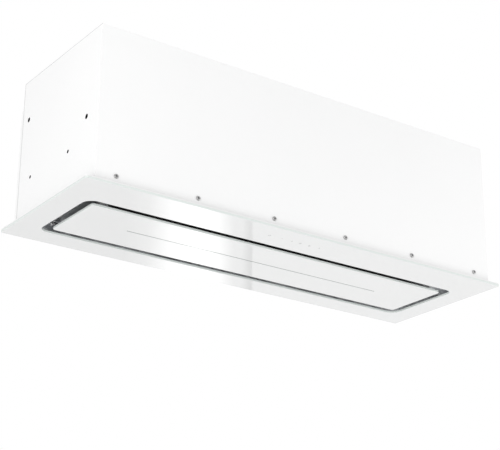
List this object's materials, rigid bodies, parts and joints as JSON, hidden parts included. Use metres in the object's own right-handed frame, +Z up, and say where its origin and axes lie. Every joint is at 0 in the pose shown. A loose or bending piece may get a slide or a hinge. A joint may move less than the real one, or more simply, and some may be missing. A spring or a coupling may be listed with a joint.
{
  "type": "ceiling range hood",
  "caption": "Long recessed ceiling extractor hood: white sheet-metal housing, flush glass face frame and a hinged glass panel with suction slots all round and a thin light line.",
  "frame": {"origin": "centre of the underside of the glass face frame", "axes": "+X along the hood, +Y across it away from the touch keys, +Z up"},
  "size_m": [0.9, 0.302, 0.335],
  "materials": {
    "white_glass": "polished, painted white behind",
    "white_enamel": "satin powder coat",
    "zinc_sheet": "galvanised sheet",
    "bright_steel": "zinc plated",
    "filter_aluminium": "satin",
    "blower_sheet": "dark coat",
    "motor_enamel": "semi-gloss coat",
    "white_plastic": "moulded",
    "grey_plastic": "moulded",
    "black_plastic": "moulded",
    "diffuser": "milky",
    "board": "lacquered",
    "rubber": "soft"
  },
  "bodies": {
    "hood": {"frame_glass": "white_glass", "frame_carrier": "white_enamel", "suction_tray": "zinc_sheet", "front_wall": "white_enamel", "rear_wall": "white_enamel", "left_end_wall": "white_enamel", "right_end_wall": "white_enamel", "top_plate": "white_enamel", "front_wall_screws": "bright_steel", "rear_wall_screws": "bright_steel", "top_plate_screws": "bright_steel", "rear_rail_left": "white_enamel", "rear_rail_right": "white_enamel", "hanger_channel_left": "zinc_sheet", "hanger_channel_right": "zinc_sheet", "hanger_nuts": "bright_steel", "hinge_bracket_left": "bright_steel", "hinge_bracket_right": "bright_steel", "hinge_pins": "bright_steel", "catch_magnets": "grey_plastic", "filter_frame_left": "filter_aluminium", "filter_frame_right": "filter_aluminium", "filter_mesh_left": "filter_aluminium", "filter_mesh_right": "filter_aluminium", "latch_spring_left": "bright_steel", "latch_spring_right": "bright_steel", "scroll_wrap": "blower_sheet", "scroll_cheek_left": "blower_sheet", "scroll_cheek_right": "blower_sheet", "inlet_ring_left": "blower_sheet", "inlet_ring_right": "blower_sheet", "motor_housing": "motor_enamel", "motor_bracket": "bright_steel", "motor_bushes": "rubber", "outlet_box": "zinc_sheet", "outlet_collar": "black_plastic", "flap_pin": "bright_steel", "cable_gland": "grey_plastic", "terminal_box": "grey_plastic", "terminal_box_cover": "grey_plastic", "run_capacitor": "white_plastic", "capacitor_clip": "bright_steel", "touch_board": "board", "control_housing": "white_plastic", "led_driver": "white_plastic"},
    "panel": {"panel_glass": "white_glass", "panel_tray": "zinc_sheet", "led_channel": "filter_aluminium", "led_board": "board", "led_diffuser": "diffuser", "hinge_leaf_left": "bright_steel", "hinge_leaf_right": "bright_steel", "catch_plates": "bright_steel"},
    "impeller": {"impeller": "blower_sheet", "motor_shaft": "bright_steel"},
    "flap_front": {"flap_front": "black_plastic"},
    "flap_rear": {"flap_rear": "black_plastic"},
    "latch_left": {"filter_latch_left": "black_plastic"},
    "latch_right": {"filter_latch_right": "black_plastic"}
  },
  "joints": [
    {"name": "panel_hinge", "type": "hinge", "parent": "hood", "child": "panel", "pos_m": [0, 0.0827, 0.0105], "axis": [1, 0, 0], "range_deg": [0, 90]},
    {"name": "impeller_spin", "type": "hinge", "parent": "hood", "child": "impeller", "pos_m": [0, -0.016, 0.145], "axis": [1, 0, 0], "continuous": true},
    {"name": "flap_front_hinge", "type": "hinge", "parent": "hood", "child": "flap_front", "pos_m": [0, 0.038, 0.3], "axis": [-1, 0, 0], "range_deg": [0, 75]},
    {"name": "flap_rear_hinge", "type": "hinge", "parent": "hood", "child": "flap_rear", "pos_m": [0, 0.038, 0.3], "axis": [1, 0, 0], "range_deg": [0, 75]},
    {"name": "latch_left_slide", "type": "slide", "parent": "hood", "child": "latch_left", "axis": [0, 1, 0], "range_m": [0, 0.006], "stiffness_N_per_m": 300, "springref_m": -0.006, "deforming": ["latch_spring_left"]},
    {"name": "latch_right_slide", "type": "slide", "parent": "hood", "child": "latch_right", "axis": [0, 1, 0], "range_m": [0, 0.006], "stiffness_N_per_m": 300, "springref_m": -0.006, "deforming": ["latch_spring_right"]}
  ]
}
